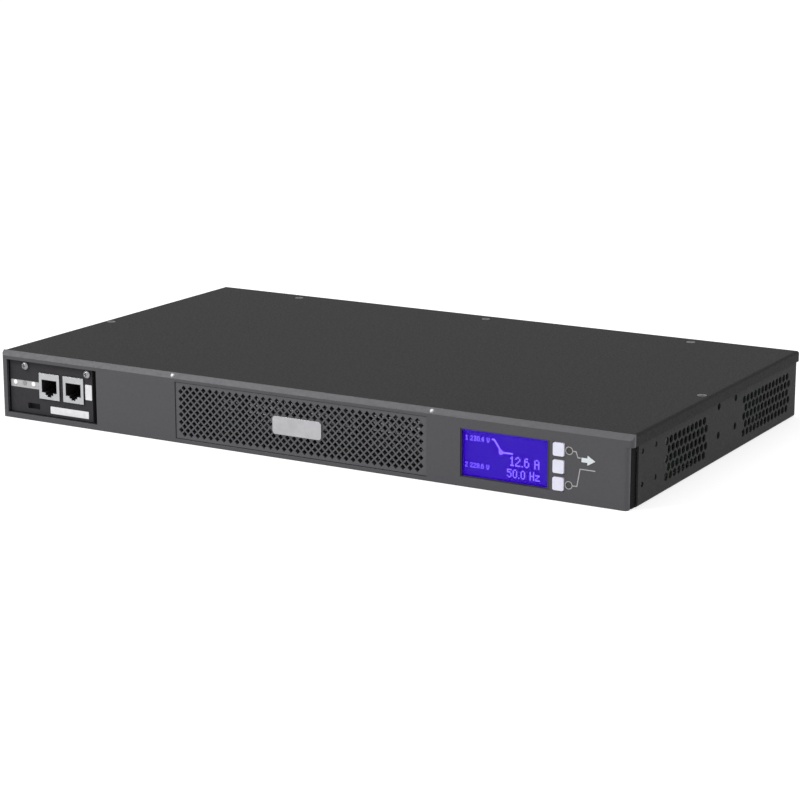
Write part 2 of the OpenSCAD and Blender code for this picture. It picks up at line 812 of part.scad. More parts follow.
module bezel_screws() color([0.6, 0.6, 0.62]) {
    for (x = boss_x, z = boss_z) translate([x, tray_inner_front_y, z])
        rotate([-90, 0, 0]) pan_screw(screw_r, sheet_t + tray_front_y - plate_back_y - 0.3, 2.6, 1.6);
}

// Two bright pins in the chamfer, at the ends of the grille
module bezel_pins() color([0.85, 0.85, 0.87]) {
    at_bezel_pins() {
        translate([0, 0, -pin_len]) cylinder(r = pin_r, h = pin_len + touch_lap);
        cylinder(r1 = pin_head_r, r2 = 0.6 * pin_head_r, h = 0.5);
    }
}

// The arrow light points to the right
module arrow_shape(play) {
    translate([arrow_x, arrow_z]) polygon([
        [play, arrow_h * 0.22 - play], [arrow_w * 0.42 + play, arrow_h * 0.22 - play],
        [arrow_w * 0.42 + play, arrow_h / 2 - 2.5 * play], [arrow_w - 2.2 * play, 0],
        [arrow_w * 0.42 + play, 2.5 * play - arrow_h / 2], [arrow_w * 0.42 + play, play - arrow_h * 0.22],
        [play, play - arrow_h * 0.22]]);
}

// ---------- grille ----------

// Staggered diamond holes, left out where the badge sits
module diamond_holes(w, h) {
    half = grille_pitch / 2;
    reach = half - strand_w / sqrt(2);
    cols = floor((w / 2 - reach) / half);
    rows = floor((h / 2 - reach) / half);
    for (i = [-cols:cols], j = [-rows:rows])
        if ((i + j) % 2 == 0 && !(abs(i * half) < badge_w / 2 + 1 && abs(j * half) < badge_h / 2 + 1))
            translate([i * half, j * half]) circle(r = reach, $fn = 4);
}

module front_grille() color([0.17, 0.17, 0.18]) {
    w = grille_w - 2 * grille_play;
    h = grille_h - 2 * grille_play;
    y0 = face_y + grille_sink;
    translate([grille_mid, 0, grille_z]) {
        along_y(y0, y0 + grille_t) difference() {
            square([w, h], center = true);
            diamond_holes(w - 2 * grille_rim, h - 2 * grille_rim);
        }
        // Feet at both ends hold the grille against the front wall of the tray
        for (x = [-1, 1]) translate([x * (w / 2 - grille_rim), 0, 0])
            along_y(y0 + grille_t - touch_lap, tray_front_y)
                square([2 * grille_rim, h - 6], center = true);
    }
}

module grille_badge() color([0.8, 0.81, 0.83]) {
    y1 = face_y + grille_sink;
    translate([grille_mid, 0, grille_z])
        along_y(y1 - badge_t, y1) round_rect(badge_w, badge_h, 2);
}

// ---------- display and buttons ----------

module window_lens() color([0.75, 0.8, 0.95, 0.5]) {
    play = 0.1;
    translate([window_x, 0, window_z]) {
        along_y(plate_back_y - lens_t, plate_back_y + touch_lap)
            square([window_w - 2 * play, window_h - 2 * play], center = true);
        along_y(plate_back_y, plate_back_y + 0.8)
            square([window_w + 2 * lens_lap, window_h + 2 * lens_lap], center = true);
    }
}

module display_frame() color([0.1, 0.1, 0.1]) {
    translate([display_x, 0, window_z]) difference() {
        along_y(display_y, control_y) square([display_w, display_h], center = true);
        along_y(display_y - cut, display_front_y)
            translate([window_x - display_x, 0]) square([window_w, window_h], center = true);
        along_y(display_front_y - touch_lap, control_y + cut) display_room();
    }
}

// The room inside the display's frame, drawn about its middle
module display_room() {
    square([display_w - 2 * display_side_wall, display_h - 2 * display_wall], center = true);
}

module display_glass() color([0.15, 0.05, 0.9]) {
    translate([display_x, 0, window_z]) along_y(display_front_y, control_y) display_room();
}

// One push button: cap, stop flange and stem
module button_body(z) color([0.95, 0.95, 0.97]) {
    translate([button_x, 0, z]) {
        along_y(face_y - button_proud, button_flange_y + touch_lap) round_rect(button_w, button_h, 1);
        along_y(button_flange_y, button_flange_y + button_flange_t)
            round_rect(button_w + 2 * button_flange, button_h + 1.3, 1);
        rod_y(stem_r, button_flange_y + button_flange_t - touch_lap, stem_end_y);
    }
}

module button_top() button_body(window_z + button_pitch);

module button_middle() button_body(window_z);

module button_bottom() button_body(window_z - button_pitch);

module status_lights() color([0.2, 0.2, 0.16]) {
    for (i = [-1, 1]) translate([light_x, 0, window_z + i * button_pitch]) {
        rod_y(light_r, face_y + 0.2, plate_back_y + touch_lap);
        rod_y(light_r * 0.8, plate_back_y, control_y - led_h);
        // Light-emitting diode on the control board
        along_y(control_y - led_h - touch_lap, control_y) square([led_t, led_w], center = true);
    }
}

module arrow_light() color([1, 1, 1]) {
    along_y(face_y - 0.1, plate_back_y + 0.6) arrow_shape(0.05);
    translate([arrow_x + arrow_w / 2, 0, arrow_z]) {
        rod_y(1.4, plate_back_y + 0.5, control_y - led_h);
        along_y(control_y - led_h - touch_lap, control_y) square([led_w, led_t], center = true);
    }
}

module at_control_holes() {
    for (x = [-1, 1], z = [-1, 1])
        translate([control_x + x * control_hole_dx, 0, control_z + z * control_hole_dz]) children();
}

module control_board() color([0.05, 0.3, 0.12]) {
    difference() {
        along_y(control_y, control_y + pcb_t)
            translate([control_x, control_z]) square([control_w, control_h], center = true);
        at_control_holes() rod_y(screw_r + screw_play, control_y - cut, control_y + pcb_t + cut);
    }
}

module control_spacers() color([0.75, 0.66, 0.35]) {
    at_control_holes() difference() {
        rod_y(spacer_r, tray_inner_front_y, control_y);
        rod_y(screw_r + tap_play, tray_inner_front_y + 0.4, control_y + cut);
    }
}

module control_screws() color([0.6, 0.6, 0.62]) {
    at_control_holes() translate([0, control_y + pcb_t, 0])
        rotate([-90, 0, 0]) pan_screw(screw_r, pcb_t + control_y - tray_inner_front_y - 1, 2.6, 1.6);
}

module button_switches() color([0.12, 0.12, 0.13]) {
    for (i = [-1:1]) translate([button_x, 0, window_z + i * button_pitch]) {
        along_y(control_y - switch_t, control_y) square([switch_w, switch_w], center = true);
        rod_y(plunger_r, control_y - switch_t - plunger_t, control_y - switch_t + touch_lap);
    }
}

// Flat cable from the control board to the main board, bent in a quarter turn
module ribbon_cable() color([0.55, 0.57, 0.6]) {
    y0 = control_header_y + header_h;
    bend_z = control_header_z - ribbon_bend;
    translate([ribbon_x, y0, bend_z]) rotate([90, 0, 90]) rotate_extrude(angle = 90)
        translate([ribbon_bend - ribbon_t / 2, -ribbon_w / 2]) square([ribbon_t, ribbon_w]);
    block([ribbon_x - ribbon_w / 2, board_header_y - ribbon_t / 2, board_top + header_h],
        [ribbon_x + ribbon_w / 2, board_header_y + ribbon_t / 2, bend_z + touch_lap]);
}

// ---------- network card ----------

module card_cage() color([0.62, 0.63, 0.65]) {
    foot = 8;
    z1 = cage_z;
    along_y(tray_inner_front_y + fold_room, cage_end_y) translate([card_mid_x, 0]) difference() {
        translate([-cage_w / 2, sheet_t]) square([cage_w, z1 - sheet_t]);
        translate([-cage_w / 2 + cage_t, sheet_t + cage_t])
            square([cage_w - 2 * cage_t, z1 - sheet_t - 2 * cage_t]);
        translate([-cage_w / 2 + foot, sheet_t - cut]) square([cage_w - 2 * foot, cage_t + 2 * cut]);
    }
}

module card_guides() color([0.2, 0.2, 0.21]) {
    slot = pcb_t + 2 * guide_play;
    for (side = [-1, 1]) along_y(guide_start_y, cage_end_y - 6) difference() {
        translate([card_mid_x + side * (guide_x + guide_w / 2), card_board_z + pcb_t / 2])
            square([guide_w, guide_h], center = true);
        translate([card_mid_x, card_board_z + pcb_t / 2])
            square([card_board_w + 2 * guide_play, slot], center = true);
    }
}

module card_faceplate() color([0.16, 0.16, 0.17]) {
    difference() {
        block([card_x, card_y, slot_z + card_gap_z],
            [card_x + card_w, tray_front_y, slot_z + slot_h - card_gap_z]);
        along_y(card_y - cut, tray_front_y + cut) {
            for (x = jack_x) translate([x, jack_z + jack_h / 2])
                square([jack_w + 0.2, jack_h + 0.2], center = true);
            for (x = card_light_x) translate([x, card_light_z]) circle(card_light_r + tap_play);
            for (x = card_screw_x) translate([x, card_screw_z]) circle(screw_r + screw_play);
            translate([port_x, port_z]) round_rect(port_w, port_h, 0.6);
        }
    }
}

module card_screws() color([0.62, 0.62, 0.64]) {
    for (x = card_screw_x) translate([x, card_y, card_screw_z])
        rotate([90, 0, 0]) pan_screw(screw_r, card_t + sheet_t + 0.5, card_head_r, 1.8);
}

module card_lights() color([0.95, 0.95, 0.9]) {
    for (x = card_light_x) translate([x, 0, card_light_z]) {
        rod_y(card_light_r, card_y - 0.3, tray_front_y + 3);
        // Leg block that holds the light on the card's board
        along_y(tray_front_y + 3 - touch_lap, tray_front_y + 7)
            translate([-1.5, jack_z - card_light_z]) square([3, card_light_z - jack_z + 1.5]);
    }
}

module card_board() color([0.05, 0.32, 0.14]) {
    half = card_board_w / 2;
    translate([card_mid_x, 0, card_board_z]) linear_extrude(pcb_t) difference() {
        translate([-half, card_start_y]) square([card_board_w, card_len]);
        // Steps at the rear leave the edge contacts standing out
        for (x = [-half - cut, half - edge_inset])
            translate([x, card_end_y - edge_l]) square([edge_inset + cut, edge_l + cut]);
    }
}

// One shielded jack with the stepped cavity that takes a plug
module network_jack(x) color([0.75, 0.76, 0.78]) {
    y0 = card_y - jack_proud;
    translate([x, 0, 0]) difference() {
        block([-jack_w / 2, y0, jack_z], [jack_w / 2, y0 + jack_len, jack_z + jack_h]);
        block([-cavity_w / 2, y0 - cut, cavity_z], [cavity_w / 2, y0 + cavity_deep, cavity_z + cavity_h]);
        // Latch steps under the cavity
        block([-3.1, y0 - cut, cavity_z - 1.5], [3.1, y0 + cavity_deep, cavity_z + touch_lap]);
        block([-1.6, y0 - cut, cavity_z - 2.6], [1.6, y0 + cavity_deep, cavity_z - 1.5 + touch_lap]);
    }
}

module network_jack_left() network_jack(jack_x[0]);

module network_jack_right() network_jack(jack_x[1]);

// Edge socket that the card plugs into, standing on the main board
module card_connector() color([0.1, 0.1, 0.11]) {
    half = card_board_w / 2 - edge_inset;
    y0 = card_end_y - edge_l + 1;
    y1 = board_notch_y + connector_d;
    outer = half + connector_wall;
    slot = half + edge_play;
    translate([card_mid_x, 0, 0]) difference() {
        union() {
            block([-outer, y0, card_board_z - connector_wall],
                [outer, y1, card_board_z + pcb_t + connector_wall]);
            block([-outer, board_notch_y, board_top], [outer, y1, card_board_z]);
        }
        block([-slot, y0 - cut, card_board_z - edge_play / 2],
            [slot, card_end_y + edge_play, card_board_z + pcb_t + edge_play / 2]);
    }
}

// ---------- rear sockets ----------

// Outline of a plug face with the two corners next to the earth contact cut off
module plug_shape(size, c) {
    x = size[0] / 2;
    y = size[1] / 2;
    polygon([[-x, -y], [x, -y], [x, y - c], [x - c, y], [c - x, y], [-x, y - c]]);
}

// Socket body and flange, drawn about the middle of the socket
module socket_shell(w, body_w) {
    along_y(panel_y, flange_y) round_rect(w, flange_h, 1.5);
    along_y(socket_end_y, panel_y + touch_lap) square([body_w, socket_h], center = true);
}

// Places its children where the three blades of a large socket lie
module at_blades() {
    translate([0, blade_dz]) children();
    for (x = [-1, 1]) translate([x * blade_dx, -blade_dz]) children();
}

module inlet(x) color([0.09, 0.09, 0.1]) {
    translate([x, 0, socket_z]) difference() {
        socket_shell(inlet_w, inlet_body_w);
        along_y(flange_y - inlet_deep, flange_y + cut) plug_shape([recess_w, recess_h], recess_cut);
        along_y(socket_end_y - cut, flange_y) at_blades() square([blade_w, blade_t], center = true);
        for (s = [-0.5, 0.5]) translate([s * inlet_span, flange_y, 0]) rotate([-90, 0, 0]) {
            translate([0, 0, -flange_t - cut]) cylinder(r = screw_r + screw_play, h = flange_t + 2 * cut);
            translate([0, 0, screw_r - head_r - screw_play])
                cylinder(r1 = screw_r + screw_play, r2 = head_r + 2 * screw_play,
                    h = head_r - screw_r + screw_play + touch_lap);
        }
    }
}

module inlet_a() inlet(inlet_a_x);

module inlet_b() inlet(inlet_b_x);

module inlet_blades() color([0.8, 0.72, 0.45]) {
    for (x = [inlet_a_x, inlet_b_x])
        translate([x, 0, socket_z]) along_y(outlet_board_y, flange_y - blade_sink)
            at_blades() square([blade_w, blade_t], center = true);
}

module inlet_screws() color([0.6, 0.6, 0.62]) {
    for (x = [inlet_a_x, inlet_b_x], s = [-0.5, 0.5])
        translate([x + s * inlet_span, flange_y - 0.1, socket_z])
            rotate([-90, 0, 0]) flat_screw(screw_r, 8);
}

// Face of one small outlet: a groove for the plug's hood and three contact slots
module small_outlet_cut() {
    along_y(flange_y - small_deep, flange_y + cut) difference() {
        plug_shape(small_hood, small_cut[0]);
        plug_shape(small_core, small_cut[1]);
    }
    along_y(flange_y - small_slot_deep, flange_y + cut) at_small_slots() square(small_slot, center = true);
}

// Places its children where the three contacts of a small outlet lie
module at_small_slots() {
    for (x = [-1, 1]) translate([x * small_dx, small_low]) children();
    translate([0, small_high]) children();
}

// Middle of each small outlet, from the middle of its row
function outlet_dx(i) = (i - (row_count - 1) / 2) * outlet_pitch;

module outlet_row(x) color([0.09, 0.09, 0.1]) {
    translate([x, 0, socket_z]) difference() {
        socket_shell(outlet_row_w, outlet_row_w - 2 * body_lip);
        for (i = [0:row_count - 1])
            translate([outlet_dx(i), 0, 0]) small_outlet_cut();
    }
}

module outlet_row_a() outlet_row(outlet_a_x);

module outlet_row_b() outlet_row(outlet_b_x);

module wide_outlet() color([0.09, 0.09, 0.1]) {
    translate([wide_x, 0, socket_z]) difference() {
        socket_shell(wide_w, wide_w - 2 * body_lip);
        along_y(flange_y - wide_deep, flange_y + cut) difference() {
            square(wide_hood, center = true);
            square(wide_core, center = true);
        }
        along_y(flange_y - wide_slot_deep, flange_y + cut) at_blades() square(wide_slot, center = true);
    }
}

// Solder tabs between the outlets and the outlet board
module outlet_tabs() color([0.8, 0.72, 0.45]) {
    along_y(outlet_board_y, socket_end_y) translate([0, socket_z]) {
        for (x = [outlet_a_x, outlet_b_x], i = [0:row_count - 1])
            translate([x + outlet_dx(i), 0]) at_small_slots() square([tab_t, tab_w], center = true);
        translate([wide_x, 0]) at_blades() square([tab_w, tab_t], center = true);
    }
}

module earth_washer() color([0.72, 0.72, 0.74]) {
    translate([earth_x, 0, earth_z]) difference() {
        rod_y(washer_r, panel_y, panel_y + washer_t);
        rod_y(earth_r + screw_play, panel_y - cut, panel_y + washer_t + cut);
        // Teeth round the edge
        for (a = [0:30:330]) rotate([0, a, 0])
            translate([washer_r - 0.5, panel_y - cut, -0.5]) cube([2, washer_t + 2 * cut, 1]);
    }
}

module earth_screw() color([0.72, 0.72, 0.74]) {
    translate([earth_x, panel_y + washer_t, earth_z]) rotate([-90, 0, 0]) pan_screw(earth_r, 8, 3.8, 1.9);
}

module outlet_board() color([0.05, 0.3, 0.12]) {
    block([wide_x - wide_w / 2, outlet_board_y - pcb_t, socket_z - outlet_board_h / 2],
        [inlet_a_x + inlet_w / 2, outlet_board_y, socket_z + outlet_board_h / 2]);
}

// Copper straps that join the main board to the outlet board
module bus_bars() color([0.75, 0.45, 0.25]) {
    y1 = outlet_board_y - pcb_t;
    for (x = bar_x) translate([x - bar_w / 2, 0, 0]) {
        block([0, y1 - bar_reach, board_top], [bar_w, y1, board_top + bar_t]);
        block([0, y1 - bar_t, board_top], [bar_w, y1, board_top + bar_h]);
    }
}

// ---------- main board ----------

module board_outline(inset) {
    polygon([
        [board_notch_x + inset, board_front + inset], [board_right - inset, board_front + inset],
        [board_right - inset, board_rear - inset], [board_left + inset, board_rear - inset],
        [board_left + inset, board_notch_y + inset], [board_notch_x + inset, board_notch_y + inset]]);
}

module at_standoffs() {
    for (p = standoff_spots) translate([p[0], p[1], 0]) children();
}

module insulating_sheet() color([0.9, 0.88, 0.75]) {
    difference() {
        translate([0, 0, liner_z]) linear_extrude(liner_t) board_outline(-1.5);
        at_standoffs() cylinder(r = standoff_r + 0.8, h = unit_h);
    }
}

module board_standoffs() color([0.75, 0.66, 0.35]) {
    at_standoffs() translate([0, 0, sheet_t]) difference() {
        cylinder(r = standoff_r, h = standoff_h, $fn = 6);
        translate([0, 0, 1]) cylinder(r = screw_r + tap_play, h = standoff_h);
    }
}

module main_board() color([0.05, 0.3, 0.12]) {
    difference() {
        translate([0, 0, board_z]) linear_extrude(pcb_t) board_outline(0);
        at_standoffs() translate([0, 0, board_z - cut])
            cylinder(r = screw_r + screw_play, h = pcb_t + 2 * cut);
    }
}

module board_screws() color([0.6, 0.6, 0.62]) {
    at_standoffs() translate([0, 0, board_top]) pan_screw(screw_r, pcb_t + standoff_h - 1.4, 2.6, 1.6);
}

// Extruded comb: an upright base with fins towards the front
module heat_sink() color([0.75, 0.76, 0.78]) {
    step = (sink_h - fin_t) / (fin_count - 1);
    difference() {
        along_x(sink_x, sink_x + sink_len) {
            translate([sink_y, sink_z]) square([sink_base, sink_h]);
            for (i = [0:fin_count - 1]) translate([sink_y - fin_len, sink_z + i * step])
                square([fin_len + touch_lap, fin_t]);
        }
        at_thyristors() rod_y(screw_r + tap_play, -4, cut);
    }
}

// Places its children at each thyristor's screw hole, on the rear face of the heat sink
module at_thyristors() {
    for (i = [0:thyristor_count - 1])
        translate([sink_x + (i + 0.5) * thyristor_step, sink_y + sink_base, package_z + package_h - 6.2])
            children();
}

// Flat plastic packages with a fixing hole and three legs
module thyristors() color([0.1, 0.1, 0.1]) {
    low = 6.2 - package_h;
    at_thyristors() {
        difference() {
            along_y(0, package_t) translate([0, low + package_h / 2])
                square([package_w, package_h], center = true);
            rod_y(screw_r + screw_play, -cut, package_t + cut);
        }
        for (i = [-1:1]) translate([i * leg_pitch, package_t / 2, low])
            block([-leg_w / 2, -leg_t / 2, board_top - package_z], [leg_w / 2, leg_t / 2, touch_lap]);
    }
}

module thyristor_screws() color([0.6, 0.6, 0.62]) {
    at_thyristors() translate([0, package_t, 0])
        rotate([-90, 0, 0]) pan_screw(screw_r, package_t + 3, 2.6, 1.6);
}

module relays() color([0.12, 0.25, 0.55]) {
    for (i = [0:relay_count - 1])
        translate([(i - (relay_count - 1) / 2) * relay_step, relay_y, board_top])
            linear_extrude(relay_h) round_rect(relay_w, relay_d, 1);
}

// Can with a rolled groove near its foot and a domed rim
module smoothing_capacitors() color([0.1, 0.1, 0.3]) {
    r = capacitor_r;
    for (x = can_x)
        translate([x, can_y, board_top])
            rotate_extrude() polygon([[0, 0], [r, 0], [r, 2.5], [r - 0.8, 3.3], [r, 4.1],
                [r, capacitor_h - 0.8], [r - 0.8, capacitor_h], [r - 1.8, capacitor_h],
                [r - 2.2, capacitor_h - 0.6], [0, capacitor_h - 0.6]]);
}

module film_capacitors() color([0.85, 0.75, 0.2]) {
    for (x = film_x) translate([x, part_row_y, board_top])
        linear_extrude(film[2]) round_rect(film[0], film[1], 0.8);
}

// Laminated core with a winding between its legs
module transformers() color([0.35, 0.33, 0.3]) {
    w = transformer_w;
    d = transformer_d;
    h = transformer_h;
    for (x = transformer_x) translate([x, transformer_y, board_top]) {
        difference() {
            block([-w / 2, -d * 0.28, 0], [w / 2, d * 0.28, h]);
            for (s = [-1, 1]) translate([s * w * 0.27, 0, h / 2])
                cube([w * 0.16, d, h * 0.62], center = true);
        }
        translate([0, 0, h / 2]) difference() {
            cube([w * 0.66, d, h * 0.58], center = true);
            cube([w * 0.38, d * 0.56 - touch_lap, h], center = true);
        }
    }
}

// Ring cores that lie on the board
module current_sensors() color([0.2, 0.5, 0.3]) {
    for (x = ring_x) translate([x, ring_y, board_top])
        rotate_extrude() translate([ring_hole, 0]) square([ring_w, ring_h]);
}

// Glass fuses between two clips each
module fuses() color([0.8, 0.8, 0.82]) {
    for (x = fuse_x) translate([x, fuse_y, board_top]) {
        for (s = [-0.5, 0.5]) translate([s * fuse_l, 0, clip[2] / 2]) cube(clip, center = true);
        translate([-fuse_l / 2, 0, clip[2] - 1]) rotate([0, 90, 0]) cylinder(r = fuse_r, h = fuse_l);
    }
}

module controller_chips() color([0.08, 0.08, 0.08]) {
    translate([0, chip_y, board_top]) linear_extrude(chip_t) {
        translate([-20, 0]) square(20, center = true);
        translate([-60, 0]) square(14, center = true);
        for (i = [0:3]) translate([20 + 16 * i, 0]) square([6, 10], center = true);
    }
}

// Box headers at both ends of the flat cable
module board_headers() color([0.15, 0.15, 0.16]) {
    translate([ribbon_x, control_header_y, control_header_z])
        block([-header_w / 2, 0, -header_d / 2], [header_w / 2, header_h, header_d / 2]);
    translate([ribbon_x, board_header_y, board_top])
        block([-header_w / 2, -header_d / 2, 0], [header_w / 2, header_d / 2, header_h]);
}

chassis_tray();
front_panel();
rear_panel();
top_cover();
cover_screws();
side_nuts();
front_bezel();
bezel_screws();
bezel_pins();
front_grille();
grille_badge();
window_lens();
display_frame();
display_glass();
button_top();
button_middle();
button_bottom();
status_lights();
arrow_light();
control_board();
button_switches();
control_spacers();
control_screws();
ribbon_cable();
card_cage();
card_guides();
card_faceplate();
card_screws();
card_lights();
card_board();
network_jack_left();
network_jack_right();
card_connector();
inlet_a();
inlet_b();
inlet_blades();
inlet_screws();
outlet_row_a();
outlet_row_b();
wide_outlet();
outlet_tabs();
earth_washer();
earth_screw();
outlet_board();
bus_bars();
insulating_sheet();
board_standoffs();
main_board();
board_screws();
heat_sink();
thyristors();
thyristor_screws();
relays();
smoothing_capacitors();
film_capacitors();
transformers();
current_sensors();
fuses();
controller_chips();
board_headers();
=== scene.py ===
"""Looks for the rack static transfer switch: finishes, small fittings, light and camera."""
import json
import math

import bmesh
import bpy
from mathutils import Matrix, Vector


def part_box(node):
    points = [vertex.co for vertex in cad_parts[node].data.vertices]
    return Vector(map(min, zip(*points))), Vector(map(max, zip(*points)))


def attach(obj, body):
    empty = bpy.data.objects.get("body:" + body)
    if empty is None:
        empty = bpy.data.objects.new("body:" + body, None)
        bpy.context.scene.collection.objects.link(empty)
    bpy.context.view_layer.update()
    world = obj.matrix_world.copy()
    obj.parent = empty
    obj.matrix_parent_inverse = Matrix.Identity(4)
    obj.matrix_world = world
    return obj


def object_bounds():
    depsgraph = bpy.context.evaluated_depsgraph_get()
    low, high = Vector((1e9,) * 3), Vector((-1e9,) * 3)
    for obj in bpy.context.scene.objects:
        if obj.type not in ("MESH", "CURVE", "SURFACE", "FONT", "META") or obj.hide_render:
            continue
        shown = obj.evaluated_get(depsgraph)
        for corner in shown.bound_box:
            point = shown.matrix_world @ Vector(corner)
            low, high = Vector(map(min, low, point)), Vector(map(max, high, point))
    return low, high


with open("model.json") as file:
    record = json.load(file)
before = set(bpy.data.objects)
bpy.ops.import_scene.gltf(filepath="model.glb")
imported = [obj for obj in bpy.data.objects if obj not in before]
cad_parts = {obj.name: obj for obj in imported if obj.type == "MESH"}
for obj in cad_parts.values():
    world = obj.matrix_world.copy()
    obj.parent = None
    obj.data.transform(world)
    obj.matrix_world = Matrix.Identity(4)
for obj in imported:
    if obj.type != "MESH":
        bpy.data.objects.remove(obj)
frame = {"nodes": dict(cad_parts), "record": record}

CAD_LO, CAD_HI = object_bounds()
MM = 0.001
HOUSING = "housing"
PRINT = 0.04 * MM        # thickness of printed marks and labels


# ---------- camera ----------

def look(yaw, pitch):
    """The direction of a view that is turned by yaw from +Y and tilted up by pitch, in degrees."""
    a, e = math.radians(yaw), math.radians(pitch)
    return Vector((math.sin(a) * math.cos(e), math.cos(a) * math.cos(e), math.sin(e)))


def make_camera():
    data = bpy.data.cameras.new("camera")
    data.sensor_width = 36
    data.lens = 103.6
    camera = bpy.data.objects.new("camera", data)
    bpy.context.scene.collection.objects.link(camera)
    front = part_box("front_bezel")[0].y
    camera.location = (0.7166, front - 1.1118, 0.3538)
    camera.rotation_mode = "QUATERNION"
    camera.rotation_quaternion = look(-30.05, -13.49).to_track_quat("-Z", "Y")
    bpy.context.scene.camera = camera


make_camera()


# ---------- materials ----------

class Finish:
    """A principled material that small procedural layers are added to."""

    def __init__(self, name, color, roughness=0.5, metallic=0.0, **sockets):
        self.material = bpy.data.materials.new(name)
        self.material.use_nodes = True
        self.tree = self.material.node_tree
        self.shader = self.tree.nodes["Principled BSDF"]
        self.color = color
        self.set("Base Color", (*color, 1))
        self.set("Roughness", roughness)
        self.set("Metallic", metallic)
        for socket, value in sockets.items():
            self.set(socket.replace("_", " "), value)
        self.place = self.node("ShaderNodeTexCoord").outputs["Object"]
        self.normal = None

    def set(self, socket, value):
        self.shader.inputs[socket].default_value = value

    def node(self, kind, **settings):
        made = self.tree.nodes.new(kind)
        for key, value in settings.items():
            setattr(made, key, value)
        return made

    def link(self, output, target):
        self.tree.links.new(output, target)

    def noise(self, size, detail=2.0, stretch=(1, 1, 1)):
        """Noise whose grains are about size metres across, drawn out along the axes by stretch."""
        mapping = self.node("ShaderNodeMapping")
        mapping.inputs["Scale"].default_value = [1 / (size * s) for s in stretch]
        self.link(self.place, mapping.inputs["Vector"])
        noise = self.node("ShaderNodeTexNoise")
        noise.inputs["Scale"].default_value = 1.0
        noise.inputs["Detail"].default_value = detail
        self.link(mapping.outputs["Vector"], noise.inputs["Vector"])
        return noise.outputs["Fac"]

    def spread(self, value, low, high, dark=0.35, light=0.65):
        """Maps a noise to the range from low to high."""
        ramp = self.node("ShaderNodeMapRange")
        ramp.inputs["From Min"].default_value = dark
        ramp.inputs["From Max"].default_value = light
        ramp.inputs["To Min"].default_value = low
        ramp.inputs["To Max"].default_value = high
        self.link(value, ramp.inputs["Value"])
        return ramp.outputs["Result"]

    def mottle(self, size, amount, other=None, stretch=(1, 1, 1)):
        """Lets the colour vary by amount, or towards another colour, in soft patches."""
        mix = self.node("ShaderNodeMix", data_type="RGBA")
        dark = [c * (1 - amount) for c in self.color]
        light = other or [min(1, c * (1 + amount)) for c in self.color]
        mix.inputs["A"].default_value = (*dark, 1)
        mix.inputs["B"].default_value = (*light, 1)
        self.link(self.spread(self.noise(size, 3.0, stretch), 0, 1), mix.inputs["Factor"])
        self.link(mix.outputs["Result"], self.shader.inputs["Base Color"])
        return self

    def polish(self, size, low, high, stretch=(1, 1, 1)):
        """Lets the roughness vary between low and high."""
        self.link(self.spread(self.noise(size, 3.0, stretch), low, high), self.shader.inputs["Roughness"])
        return self

    def bump(self, size, height, detail=2.0, stretch=(1, 1, 1), strength=1.0):
        """Adds a bumpy layer of that grain and height, in metres."""
        layer = self.node("ShaderNodeBump")
        layer.inputs["Distance"].default_value = height
        layer.inputs["Strength"].default_value = strength
        self.link(self.noise(size, detail, stretch), layer.inputs["Height"])
        if self.normal:
            self.link(self.normal, layer.inputs["Normal"])
        self.normal = layer.outputs["Normal"]
        self.link(self.normal, self.shader.inputs["Normal"])
        return self

    def round_edges(self, radius):
        """Softens the look of the edges, under whatever bumps follow."""
        bevel = self.node("ShaderNodeBevel", samples=6)
        bevel.inputs["Radius"].default_value = radius
        self.normal = bevel.outputs["Normal"]
        self.link(self.normal, self.shader.inputs["Normal"])
        return self

    def glow(self, color, strength):
        self.set("Emission Color", (*color, 1))
        self.set("Emission Strength", strength)
        return self


def powder_coat(name, color):
    """Fine textured powder coating on sheet steel."""
    finish = Finish(name, color, 0.7, Specular_IOR_Level=0.12)
    finish.round_edges(0.35 * MM).mottle(1.6 * MM, 0.06).polish(1.2 * MM, 0.62, 0.74)
    return finish.bump(0.45 * MM, 0.03 * MM).material


def moulded(name, color, roughness=0.5, grain=0.3 * MM, depth=0.015 * MM, edge=0.25 * MM, **sockets):
    """Spark-eroded moulded plastic."""
    finish = Finish(name, color, roughness, **sockets)
    finish.round_edges(edge).mottle(1.5 * MM, 0.05).polish(1.8 * MM, roughness - 0.05, roughness + 0.05)
    return finish.bump(grain, depth).material


def bare_metal(name, color, roughness=0.32, stretch=(12, 1, 1), size=0.25 * MM, edge=0.15 * MM):
    """Plated or brushed metal, with marks drawn out along one axis."""
    finish = Finish(name, color, roughness, 1.0)
    finish.round_edges(edge).mottle(5 * MM, 0.05).polish(3 * MM, roughness - 0.08, roughness + 0.1, stretch)
    return finish.bump(size, 0.01 * MM, 1.0, stretch).material


def circuit_board(name, color):
    """Solder mask over copper tracks: stepped patches of lighter green, with a soft gloss."""
    finish = Finish(name, color, 0.35, Coat_Weight=0.3)
    cells = finish.node("ShaderNodeTexVoronoi", feature="F1", distance="CHEBYCHEV")
    cells.inputs["Scale"].default_value = 1 / (2.4 * MM)
    finish.link(finish.place, cells.inputs["Vector"])
    mix = finish.node("ShaderNodeMix", data_type="RGBA")
    mix.inputs["A"].default_value = (*color, 1)
    mix.inputs["B"].default_value = (*[c * 1.9 for c in color], 1)
    finish.link(finish.spread(cells.outputs["Distance"], 0, 1, 0.28, 0.34), mix.inputs["Factor"])
    finish.link(mix.outputs["Result"], finish.shader.inputs["Base Color"])
    return finish.bump(2 * MM, 0.02 * MM).material


def backlit(name, color, glow, strength, roughness=0.3):
    """Lit translucent plastic, a little brighter in soft patches."""
    finish = Finish(name, color, roughness, Subsurface_Weight=0.2)
    finish.round_edges(0.3 * MM).mottle(4 * MM, 0.03).glow(glow, strength)
    return finish.bump(1.5 * MM, 0.01 * MM).material


